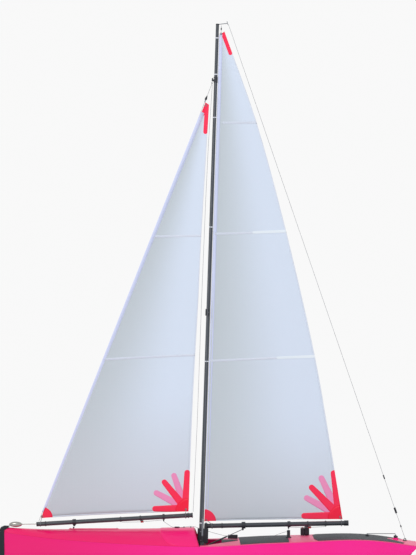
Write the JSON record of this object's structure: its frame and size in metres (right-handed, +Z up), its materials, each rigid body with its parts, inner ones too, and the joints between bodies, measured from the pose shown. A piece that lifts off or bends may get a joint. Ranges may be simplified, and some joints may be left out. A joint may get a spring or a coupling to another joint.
{
  "type": "rc sailboat",
  "caption": "Radio-controlled racing yacht: slim pink hull, tall mast with stays, jib and mainsail on swinging booms, deep ballasted fin and rudder.",
  "frame": {"origin": "centreline point under the canoe body where the keel fin enters the hull, 530 mm aft of the bow", "axes": "+Z up, +X aft towards the stern, +Y to starboard; the hull floats level in this frame"},
  "size_m": [1, 0.169, 1.7157],
  "materials": {
    "hull_pink": "gloss moulded shell, hot pink",
    "deck_salmon": "satin moulded shell, salmon pink",
    "patch_grey": "matt adhesive deck film",
    "bumper_rubber": "soft black rubber",
    "spar_black": "dark satin anodised or carbon-wrapped tube",
    "fitting_black": "moulded black nylon",
    "sailcloth": "thin translucent film sailcloth",
    "wire_steel": "stainless wire and turned steel",
    "line_grey": "pale grey braided line",
    "weight_metal": "polished plated brass",
    "foil_black": "polished black laminate",
    "bulb_lead": "painted cast ballast",
    "ring_white": "white nylon",
    "button_red": "red button",
    "radio_plastic": "black radio housings",
    "battery_wrap": "blue shrink wrap",
    "tray_ply": "thin varnished plywood"
  },
  "bodies": {
    "hull": {"hull_shell": "hull_pink", "foredeck": "hull_pink", "foredeck_bulkhead": "hull_pink", "mast_well": "hull_pink", "aft_deck": "deck_salmon", "bow_bumper": "bumper_rubber", "deck_patches": "patch_grey", "keel_fin": "foil_black", "fin_case": "tray_ply", "bulb": "bulb_lead", "bulb_screw": "wire_steel", "fin_nut": "fitting_black", "mast_tube": "spar_black", "mast_step": "fitting_black", "gooseneck_bracket": "fitting_black", "gooseneck_pin": "wire_steel", "masthead_plug": "fitting_black", "masthead_crane": "wire_steel", "hounds_fitting": "fitting_black", "spreaders": "fitting_black", "shrouds": "wire_steel", "chainplates": "wire_steel", "backstay": "line_grey", "backstay_fittings": "fitting_black", "luff_rings": "ring_white", "jib_plate": "deck_salmon", "jib_deck_eyes": "fitting_black", "mainsheet_post": "fitting_black", "sheet_fairleads": "fitting_black", "switch_housing": "fitting_black", "rudder_tube": "hull_pink", "servo_tray": "tray_ply", "sail_winch": "radio_plastic", "rudder_servo": "radio_plastic", "receiver": "radio_plastic", "battery": "battery_wrap", "mainsheet": "line_grey", "jib_sheet": "line_grey"},
    "main_rig": {"main_boom": "spar_black", "main_boom_fittings": "fitting_black", "mainsail": "sailcloth", "kicker_rods": "wire_steel"},
    "kicker_turner": {"kicker_barrel": "fitting_black"},
    "jib_rig": {"jib_boom": "spar_black", "jib_boom_fittings": "fitting_black", "jib_sail": "sailcloth", "jib_stay": "wire_steel", "topping_lift": "line_grey", "counterweight": "weight_metal"},
    "rudder": {"rudder_blade": "foil_black", "rudder_stock": "wire_steel", "tiller_arm": "fitting_black"},
    "servo_arm": {"servo_horn": "fitting_black"},
    "steering_link": {"pushrod": "wire_steel"},
    "sheet_drum": {"winch_drum": "ring_white"},
    "power_button": {"switch_button": "button_red"},
    "bung": {"drain_bung": "bumper_rubber"},
    "port_turner": {"shroud_barrel_port": "wire_steel"},
    "starboard_turner": {"shroud_barrel_starboard": "wire_steel"}
  },
  "joints": [
    {"name": "main_boom_swing", "type": "hinge", "parent": "hull", "child": "main_rig", "pos_m": [-0.03678, 0, 0.09864], "axis": [0.0321, 0, 0.9995], "range_deg": [-75, 75], "deforming": ["mainsheet"]},
    {"name": "kicker_barrel_turn", "type": "hinge", "parent": "main_rig", "child": "kicker_turner", "pos_m": [-0.03678, 0, 0.09864], "axis": [0.9098, 0, 0.415], "continuous": true},
    {"name": "jib_boom_swing", "type": "hinge", "parent": "hull", "child": "jib_rig", "pos_m": [-0.3515, 0, 0.1443], "axis": [0.2975, 0, 0.9547], "range_deg": [-70, 70], "deforming": ["jib_sheet"]},
    {"name": "rudder_turn", "type": "hinge", "parent": "hull", "child": "rudder", "pos_m": [0.418, 0, 0], "axis": [0, 0, 1], "range_deg": [-38, 38]},
    {"name": "servo_horn_turn", "type": "hinge", "parent": "hull", "child": "servo_arm", "pos_m": [0.35, 0, 0.1252], "axis": [0, 0, 1], "range_deg": [-38, 38]},
    {"name": "pushrod_hinge", "type": "hinge", "parent": "servo_arm", "child": "steering_link", "pos_m": [0.35, 0.014, 0.1252], "axis": [0, 0, 1], "range_deg": [-38, 38]},
    {"name": "winch_drum_turn", "type": "hinge", "parent": "hull", "child": "sheet_drum", "pos_m": [0.102, 0, 0.0616], "axis": [0, 0, 1], "range_deg": [-630, 630]},
    {"name": "switch_push", "type": "slide", "parent": "hull", "child": "power_button", "axis": [0, 0, -1], "range_m": [0, 0.0015], "stiffness_N_per_m": 300, "springref_m": -0.0008},
    {"name": "bung_pull", "type": "slide", "parent": "hull", "child": "bung", "axis": [0.7071, 0, -0.7071], "range_m": [0, 0.012]},
    {"name": "port_barrel_turn", "type": "hinge", "parent": "hull", "child": "port_turner", "pos_m": [-0.044, -0.077, 0.13], "axis": [0.023, 0.0605, 0.9979], "continuous": true},
    {"name": "starboard_barrel_turn", "type": "hinge", "parent": "hull", "child": "starboard_turner", "pos_m": [-0.044, 0.077, 0.13], "axis": [0.023, -0.0605, 0.9979], "continuous": true}
  ],
  "couplings": [
    {"joint": "servo_horn_turn", "follows": "rudder_turn", "ratio": 1},
    {"joint": "pushrod_hinge", "follows": "rudder_turn", "ratio": -1}
  ]
}
